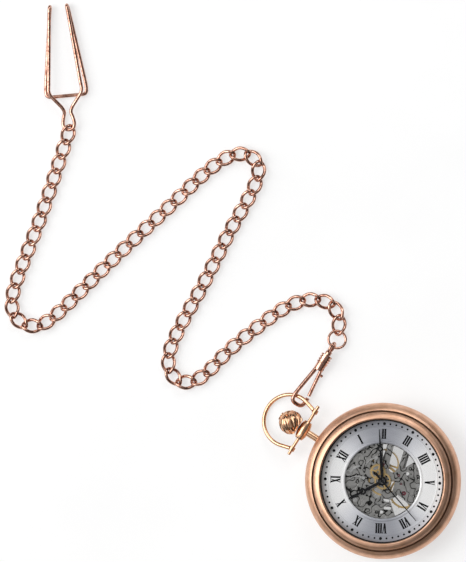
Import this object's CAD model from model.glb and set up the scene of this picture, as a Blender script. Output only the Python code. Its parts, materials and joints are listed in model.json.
"""The looks of the skeleton pocket watch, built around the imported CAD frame.  Blender 4.5."""
import json
import math

import bpy
from mathutils import Matrix, Vector


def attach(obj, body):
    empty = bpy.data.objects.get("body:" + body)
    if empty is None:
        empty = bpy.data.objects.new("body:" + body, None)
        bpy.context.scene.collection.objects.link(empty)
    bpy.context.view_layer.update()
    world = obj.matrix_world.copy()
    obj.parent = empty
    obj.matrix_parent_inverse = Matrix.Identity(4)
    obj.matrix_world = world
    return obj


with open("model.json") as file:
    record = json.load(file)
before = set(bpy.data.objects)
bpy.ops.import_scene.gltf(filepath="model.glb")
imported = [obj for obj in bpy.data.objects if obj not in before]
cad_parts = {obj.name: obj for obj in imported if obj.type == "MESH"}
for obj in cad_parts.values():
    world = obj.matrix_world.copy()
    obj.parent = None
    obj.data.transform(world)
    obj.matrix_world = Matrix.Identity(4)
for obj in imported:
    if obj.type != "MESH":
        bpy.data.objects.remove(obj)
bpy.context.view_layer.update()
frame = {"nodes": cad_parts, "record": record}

MM = 0.001
TAU = 2 * math.pi

# ------------------------------------------------------------------ camera
VIEW_CENTRE = Vector((27.14, 72.35, 0.0)) * MM
VIEW_TURN = math.radians(-58.0)
VIEW_HEIGHT = 173.5 * MM  # of the ground, from the foot of the view to its head
VIEW_RIGHT = Vector((math.cos(VIEW_TURN), math.sin(VIEW_TURN), 0.0))
VIEW_UP = Vector((-math.sin(VIEW_TURN), math.cos(VIEW_TURN), 0.0))
CAMERA_HEIGHT = 2.0
CAMERA_TILT = math.radians(6.0)
NEAREST = 0.01
SENSOR = 36.0


def make_camera():
    """A long lens that looks down on the view's centre from a little to its right."""
    camera = bpy.data.cameras.new("camera")
    camera.sensor_width = SENSOR
    camera.sensor_fit = "AUTO"
    camera.lens = SENSOR * CAMERA_HEIGHT / VIEW_HEIGHT
    camera.clip_start = NEAREST
    obj = bpy.data.objects.new("camera", camera)
    bpy.context.scene.collection.objects.link(obj)
    turn = Matrix.Rotation(VIEW_TURN, 4, "Z") @ Matrix.Rotation(CAMERA_TILT, 4, "Y")
    away = Matrix.Translation((0, 0, CAMERA_HEIGHT))
    obj.matrix_world = Matrix.Translation(VIEW_CENTRE) @ turn @ away
    bpy.context.scene.camera = obj


# ------------------------------------------------------------------ node helpers
class Graph:
    """The node tree of a material or of the world, with short calls for the nodes used here."""

    def __init__(self, owner, shader):
        owner.use_nodes = True
        self.nodes = owner.node_tree.nodes
        self.links = owner.node_tree.links
        self.shader = self.nodes[shader]

    def node(self, kind, **settings):
        made = self.nodes.new("ShaderNode" + kind)
        for key, setting in settings.items():
            setattr(made, key, setting)
        return made

    def feed(self, socket, source):
        """Links a socket to another node's output, or sets it to a value."""
        if hasattr(source, "is_linked"):
            self.links.new(source, socket)
        else:
            socket.default_value = source

    def set(self, name, source):
        self.feed(self.shader.inputs[name], source)

    def math(self, operation, *values):
        made = self.node("Math", operation=operation)
        for socket, source in zip(made.inputs, values):
            self.feed(socket, source)
        return made.outputs[0]

    def mix(self, *parts):
        """The sum of (source, share) parts."""
        scaled = [self.math("MULTIPLY", source, share) for source, share in parts]
        total = scaled[0]
        for part in scaled[1:]:
            total = self.math("ADD", total, part)
        return total

    def place(self):
        """Object coordinates in millimetres."""
        scale = self.node("VectorMath", operation="SCALE")
        self.feed(scale.inputs[0], self.node("TexCoord").outputs["Object"])
        scale.inputs["Scale"].default_value = 1.0 / MM
        return scale.outputs[0]

    def axes(self, vector):
        """The x, y and z of a vector."""
        split = self.node("SeparateXYZ")
        self.feed(split.inputs[0], vector)
        return split.outputs

    def combine(self, x, y, z):
        made = self.node("CombineXYZ")
        for socket, source in zip(made.inputs, (x, y, z)):
            self.feed(socket, source)
        return made.outputs[0]

    def noise(self, vector, scale, detail=4.0, roughness=0.55):
        made = self.node("TexNoise")
        self.feed(made.inputs["Vector"], vector)
        made.inputs["Scale"].default_value = scale
        made.inputs["Detail"].default_value = detail
        made.inputs["Roughness"].default_value = roughness
        return made.outputs["Fac"]

    def ramp(self, factor, *stops):
        """Colours along 0..1, from (position, colour) stops."""
        made = self.node("ValToRGB")
        self.feed(made.inputs[0], factor)
        elements = made.color_ramp.elements
        while len(elements) < len(stops):
            elements.new(0.5)
        for element, (position, colour) in zip(elements, stops):
            element.position = position
            element.color = (*colour, 1.0)
        return made.outputs["Color"]

    def spread(self, factor, low, high, start=0.0, end=1.0):
        """Maps start..end to low..high."""
        made = self.node("MapRange")
        self.feed(made.inputs["Value"], factor)
        made.inputs["From Min"].default_value = start
        made.inputs["From Max"].default_value = end
        made.inputs["To Min"].default_value = low
        made.inputs["To Max"].default_value = high
        return made.outputs[0]

    def bump(self, height, distance):
        made = self.node("Bump")
        made.inputs["Distance"].default_value = distance
        self.feed(made.inputs["Height"], height)
        self.set("Normal", made.outputs[0])


def material_graph(name):
    """A new material, and the graph of its nodes."""
    material = bpy.data.materials.new(name)
    return material, Graph(material, "Principled BSDF")


def grey(level):
    return level, level, level


def polar(graph, vector):
    """Radius and angle about the watch's axis."""
    x, y, _ = graph.axes(vector)
    squares = graph.math("ADD", graph.math("MULTIPLY", x, x), graph.math("MULTIPLY", y, y))
    return graph.math("SQRT", squares), graph.math("ARCTAN2", y, x)


def ring_grain(graph, vector, across=9.0, along=1.2):
    """Fine grooves that run round the watch's axis, as a lathe leaves them."""
    radius, angle = polar(graph, vector)
    outwards = graph.math("MULTIPLY", graph.math("ADD", radius, graph.axes(vector)[2]), across)
    round_y = graph.math("MULTIPLY", graph.math("SINE", angle), along)
    round_x = graph.math("MULTIPLY", graph.math("COSINE", angle), along)
    return graph.noise(graph.combine(outwards, round_y, round_x), 1.0, 5.0, 0.7)


def brushed_grain(graph, vector, turn, stretch, scale, detail, roughness):
    """Fine straight grooves, as a brush leaves them, at a turn in degrees."""
    mapping = graph.node("Mapping")
    graph.feed(mapping.inputs["Vector"], vector)
    mapping.inputs["Rotation"].default_value = (0, 0, math.radians(turn))
    mapping.inputs["Scale"].default_value = stretch
    return graph.noise(mapping.outputs[0], scale, detail, roughness)


# ------------------------------------------------------------------ materials
SEAM_RADIUS = 21.57  # middle of the groove between the bezel and the band, in millimetres
SEAM_HALF_WIDTH = 0.2
SEAM_COLOUR = (0.16, 0.085, 0.05)


def metal(name, dark_tone, bright_tone, roughness, grain="fine", depth=2e-6, seam=None):
    """Solid metal with brushing or fine wear in its colour, its gloss and its surface.

    A seam is the radius of a joint round the watch, where the metal is tarnished.
    """
    material, graph = material_graph(name)
    vector = graph.place()
    if grain == "rings":
        texture = ring_grain(graph, vector)
    elif grain == "straight":
        texture = brushed_grain(graph, vector, 25, (0.6, 9.0, 2.0), 1.6, 5.0, 0.65)
    else:
        texture = graph.noise(vector, 1.4, 6.0, 0.6)
    wear = graph.noise(vector, 0.35, 3.0, 0.5)
    tone = graph.mix((texture, 0.6), (wear, 0.4))
    stops = [(0.35, dark_tone), (0.62, bright_tone)]
    if seam:
        off_seam = graph.math("ABSOLUTE", graph.math("SUBTRACT", polar(graph, vector)[0], seam))
        tone = graph.math("SUBTRACT", tone, graph.math("LESS_THAN", off_seam, SEAM_HALF_WIDTH))
        stops.insert(0, (0.0, SEAM_COLOUR))
    graph.set("Base Color", graph.ramp(tone, *stops))
    graph.set("Metallic", 1.0)
    graph.set("Roughness", graph.spread(texture, *roughness))
    graph.bump(texture, depth)
    return material


def engraved_metal(name):
    """Grey rhodium plate: brushed, with leafy scrolls cut dark and deep into it."""
    material, graph = material_graph(name)
    vector = graph.place()
    brush = brushed_grain(graph, vector, 35, (0.7, 8.0, 1.0), 1.3, 4.0, 0.7)
    leaf_scale, scrolls_per_leaf = 0.33, 18.0
    leaf = graph.noise(vector, leaf_scale, 1.2, 0.4)
    wave = graph.math("SINE", graph.math("MULTIPLY", leaf, scrolls_per_leaf))
    scroll = graph.math("ABSOLUTE", wave)
    ground = graph.noise(vector, 0.22, 2.0, 0.5)
    tone = graph.mix((scroll, 0.62), (ground, 0.42), (brush, 0.10))
    cut, edge = grey(0.010), (0.055, 0.053, 0.050)
    glint, shade, plate = (0.42, 0.415, 0.40), (0.27, 0.267, 0.26), (0.38, 0.375, 0.365)
    graph.set("Base Color", graph.ramp(
        tone, (0.39, cut), (0.47, edge), (0.53, glint), (0.61, shade), (1.0, plate)))
    graph.set("Metallic", 1.0)
    graph.set("Roughness", graph.spread(brush, 0.26, 0.42))
    groove_wall = graph.math("MINIMUM", graph.math("MULTIPLY", scroll, 3.0), 1.0)
    graph.bump(graph.mix((groove_wall, 1.0), (brush, 0.15)), 6.0e-5)
    return material


DIAL_FAN_TURN = math.radians(116)


def dial_metal(name):
    """Silvered dial: rings of fine grain, and the fans of light and grey that they throw."""
    material, graph = material_graph(name)
    vector = graph.place()
    angle = polar(graph, vector)[1]
    grain = ring_grain(graph, vector, across=7.0, along=0.8)
    twice_round = graph.math("ADD", graph.math("MULTIPLY", angle, 2.0), DIAL_FAN_TURN)
    fans = graph.math("ADD", graph.math("MULTIPLY", graph.math("COSINE", twice_round), 0.5), 0.5)
    shade = graph.mix((fans, 0.8), (grain, 0.25))
    graph.set("Base Color", graph.ramp(
        shade, (0.15, (0.36, 0.37, 0.41)), (0.50, (0.74, 0.75, 0.79)), (0.80, grey(0.98))))
    graph.set("Metallic", 0.35)
    graph.set("Roughness", graph.spread(grain, 0.30, 0.48))
    graph.bump(grain, 3e-6)
    return material


def clear(name, colour, ior, roughness):
    """A clear coloured stone."""
    material, graph = material_graph(name)
    gloss = graph.noise(graph.place(), 0.4)
    graph.set("Base Color", (*colour, 1.0))
    graph.set("Roughness", graph.spread(gloss, roughness, roughness + 0.01))
    graph.set("IOR", ior)
    graph.set("Transmission Weight", 1.0)
    return material


def crystal(name):
    """Thin clear glass: what is under it stays sharp, with a soft reflection on top."""
    material, graph = material_graph(name)
    gloss = graph.noise(graph.place(), 0.3)
    graph.set("Base Color", (*grey(0.02), 1.0))
    graph.set("Roughness", graph.spread(gloss, 0.0, 0.02))
    graph.set("Alpha", 0.04)
    graph.set("IOR", 1.5)
    return material


def dark(name, colour, roughness):
    """Ink, lacquer or rubber, with faint specks."""
    material, graph = material_graph(name)
    speck = graph.noise(graph.place(), 3.0, 4.0)
    speck_colour = tuple(part * 1.8 + 0.002 for part in colour)
    graph.set("Base Color", graph.ramp(speck, (0.3, colour), (0.8, speck_colour)))
    graph.set("Roughness", graph.spread(speck, roughness, roughness + 0.12))
    graph.set("Specular IOR Level", 0.15)
    graph.bump(speck, 1e-6)
    return material


def make_materials():
    """A material for each of the record's slots, and two more: polished gold and ink."""
    return {
        "rose_gold": metal("rose_gold_brushed", (0.58, 0.315, 0.19), (0.84, 0.535, 0.385),
                           (0.36, 0.50), "rings", 4e-6, SEAM_RADIUS),
        "polished_gold": metal("rose_gold_polished", (0.50, 0.27, 0.155), (0.78, 0.49, 0.315),
                               (0.14, 0.26)),
        "chain_gold": metal("rose_gold_chain", (0.24, 0.11, 0.075), (0.82, 0.48, 0.365),
                            (0.08, 0.18)),
        "rhodium": engraved_metal("engraved_rhodium"),
        "dial_silver": dial_metal("silvered_dial"),
        "ink": dark("dial_ink", (0.004, 0.004, 0.005), 0.7),
        "hand_black": dark("black_lacquer", (0.003, 0.003, 0.004), 0.45),
        "crystal": crystal("mineral_crystal"),
        "gilt": metal("gilt_wheels", (0.55, 0.36, 0.13), (0.87, 0.64, 0.32), (0.22, 0.36), "rings"),
        "steel": metal("polished_steel", grey(0.38), (0.74, 0.74, 0.73), (0.16, 0.30), "straight"),
        "ruby": clear("ruby_jewel", (0.75, 0.04, 0.16), 1.76, 0.02),
        "seal": dark("black_seal", grey(0.012), 0.6),
    }


POLISHED = ("bow", "bow_pins", "crown", "pendant_hub", "pendant_neck")


def dress(materials):
    """Gives every CAD node its finished material."""
    slots = {item["node"]: item["material_slot"] for item in frame["record"]["subparts"]}
    for name, obj in frame["nodes"].items():
        slot = "polished_gold" if name in POLISHED else slots[name]
        if not obj.material_slots:
            obj.data.materials.append(materials[slot])
        for place in obj.material_slots:
            place.material = materials[slot]


# ------------------------------------------------------------------ the dial's print
# Sizes are in millimetres.
DIAL_FACE = 8.4
INK = 0.02
STROKE_STEP = 0.0005  # keeps the tops of crossing strokes apart
NUMERALS = ["XII", "I", "II", "III", "IIII", "V", "VI", "VII", "VIII", "IX", "X", "XI"]
NUMERAL_FOOT, NUMERAL_HEAD = 12.95, 16.05
NUMERAL_HEIGHT = NUMERAL_HEAD - NUMERAL_FOOT
LETTER_UNIT = 0.92 * NUMERAL_HEIGHT
SERIF_REACH = 0.045 * LETTER_UNIT
SERIF_HEIGHT = 0.045 * NUMERAL_HEIGHT
STROKES = {  # each letter's width, and its strokes as (foot, head, thickness), in letter units
    "I": (0.25, [(0.125, 0.125, 0.19)]),
    "V": (0.46, [(0.22, 0.09, 0.19), (0.24, 0.39, 0.085)]),
    "X": (0.48, [(0.39, 0.09, 0.19), (0.09, 0.39, 0.085)]),
}
DOT_CIRCLE = 17.62
HOUR_DOT, MINUTE_DOT = 0.47, 0.31
DOT_SIDES = 14


def prism(outline, low, high):
    """A flat outline made thick: its vertices and faces."""
    count = len(outline)
    vertices = [(x, y, low) for x, y in outline] + [(x, y, high) for x, y in outline]
    faces = [tuple(reversed(range(count))), tuple(range(count, 2 * count))]
    faces += [(k, (k + 1) % count, count + (k + 1) % count, count + k) for k in range(count)]
    return vertices, faces


def print_on_dial(name, shapes, material):
    """One piece of ink that rides on the case, made of (outline, thickness) shapes."""
    vertices, faces = [], []
    for outline, thickness in shapes:
        corners, sides = prism(outline, DIAL_FACE, DIAL_FACE + thickness)
        faces += [tuple(k + len(vertices) for k in side) for side in sides]
        vertices += corners
    mesh = bpy.data.meshes.new(name)
    mesh.from_pydata([tuple(c * MM for c in vertex) for vertex in vertices], [], faces)
    mesh.materials.append(material)
    obj = bpy.data.objects.new(name, mesh)
    bpy.context.scene.collection.objects.link(obj)
    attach(obj, "case")


def bar(x, half, low, high):
    """A serif: an upright rectangle about x, from low to high."""
    return [(x - half, low), (x + half, low), (x + half, high), (x - half, high)]


def numeral_outlines(text):
    """Quadrilaterals of one numeral in a plane: x across it, y from its foot to its head."""
    widths = [STROKES[letter][0] * LETTER_UNIT for letter in text]
    left = -sum(widths) / 2
    shapes = []
    for letter, width in zip(text, widths):
        for foot, head, thickness in STROKES[letter][1]:
            half = thickness * LETTER_UNIT / 2
            foot_x, head_x = left + foot * LETTER_UNIT, left + head * LETTER_UNIT
            shapes.append([(foot_x - half, 0), (foot_x + half, 0),
                           (head_x + half, NUMERAL_HEIGHT), (head_x - half, NUMERAL_HEIGHT)])
            reach = half + SERIF_REACH
            if letter != "V":
                shapes.append(bar(foot_x, reach, 0.0, SERIF_HEIGHT))
            shapes.append(bar(head_x, reach, NUMERAL_HEIGHT - SERIF_HEIGHT, NUMERAL_HEIGHT))
        left += width
    return shapes


def numeral_shapes():
    """The twelve numerals, each at its hour with its head towards the rim."""
    shapes = []
    for hour, text in enumerate(NUMERALS):
        turn = -TAU * hour / 12
        for layer, outline in enumerate(numeral_outlines(text)):
            placed = []
            for x, y in outline:
                radius = NUMERAL_FOOT + y
                placed.append((x * math.cos(turn) - radius * math.sin(turn),
                               x * math.sin(turn) + radius * math.cos(turn)))
            shapes.append((placed, INK + STROKE_STEP * (layer % 4)))
    return shapes


def dot_shapes():
    """A dot for each minute, larger at the hours."""
    shapes = []
    corners = [TAU * k / DOT_SIDES for k in range(DOT_SIDES)]
    for minute in range(60):
        angle = TAU * minute / 60
        size = HOUR_DOT if minute % 5 == 0 else MINUTE_DOT
        x, y = DOT_CIRCLE * math.sin(angle), DOT_CIRCLE * math.cos(angle)
        shapes.append(([(x + size * math.cos(c), y + size * math.sin(c)) for c in corners], INK))
    return shapes


# ------------------------------------------------------------------ stage
FLOOR_REACH = 3.0
FLOOR_LEVEL = -0.0002
FLOOR_GLOW = 0.62


def make_stage():
    """A plain pale floor with a little glow of its own, so that its shadows stay light."""
    material, graph = material_graph("pale_floor")
    mottle = graph.noise(graph.place(), 0.02)
    graph.set("Base Color", graph.ramp(mottle, (0.3, grey(0.36)), (0.7, grey(0.39))))
    graph.set("Roughness", 0.9)
    graph.set("Emission Color", (*grey(1.0), 1.0))
    graph.set("Emission Strength", FLOOR_GLOW)
    mesh = bpy.data.meshes.new("floor")
    corners = [(x * FLOOR_REACH, y * FLOOR_REACH, FLOOR_LEVEL)
               for x, y in ((-1, -1), (1, -1), (1, 1), (-1, 1))]
    mesh.from_pydata(corners, [], [(0, 1, 2, 3)])
    mesh.materials.append(material)
    floor = bpy.data.objects.new("floor", mesh)
    bpy.context.scene.collection.objects.link(floor)


ROOM_LEVELS = (  # the sine of the height above the horizon, and how bright the room is there
    (0.0, 0.02), (0.35, 0.06), (0.60, 0.28), (0.80, 0.90), (0.93, 0.55), (1.0, 0.42))
ROOM_DIM_SIDE, ROOM_BRIGHT_SIDE = (-0.30, 0.32), (0.60, 2.1)  # the lean to a side, and its strength


def make_room():
    """Soft light from all round: dim low down, bright high up, and stronger on the view's left."""
    world = bpy.data.worlds.new("studio")
    bpy.context.scene.world = world
    graph = Graph(world, "Background")
    heading = graph.node("TexCoord").outputs["Generated"]
    height = graph.axes(heading)[2]
    graph.set("Color", graph.ramp(height, *((stop, grey(level)) for stop, level in ROOM_LEVELS)))
    lean = graph.node("VectorMath", operation="DOT_PRODUCT")
    graph.feed(lean.inputs[0], heading)
    lean.inputs[1].default_value = VIEW_UP * 0.15 - VIEW_RIGHT
    (start, low), (end, high) = ROOM_DIM_SIDE, ROOM_BRIGHT_SIDE
    graph.set("Strength", graph.spread(lean.outputs["Value"], low, high, start, end))


def area_light(name, right, up, height, size, power):
    """A soft box off the view's centre, turned towards it."""
    light = bpy.data.lights.new(name, "AREA")
    light.shape = "RECTANGLE"
    light.size, light.size_y = size
    light.energy = power
    obj = bpy.data.objects.new(name, light)
    bpy.context.scene.collection.objects.link(obj)
    offset = VIEW_RIGHT * right + VIEW_UP * up + Vector((0, 0, height))
    obj.location = VIEW_CENTRE + offset
    obj.rotation_euler = (-offset).to_track_quat("-Z", "Y").to_euler()


def make_light():
    """The room, with a large soft box on the view's left and a small one beyond its head."""
    make_room()
    area_light("key", -0.75, 0.1, 0.7, (0.8, 1.1), 8.0)
    area_light("top", 0.3, 0.75, 0.65, (0.6, 0.45), 2.5)
    bpy.context.scene.view_settings.view_transform = "Standard"
    bpy.context.scene.view_settings.look = "None"


make_camera()
MATERIALS = make_materials()
dress(MATERIALS)
print_on_dial("numerals", numeral_shapes(), MATERIALS["ink"])
print_on_dial("minute_dots", dot_shapes(), MATERIALS["ink"])
make_stage()
make_light()
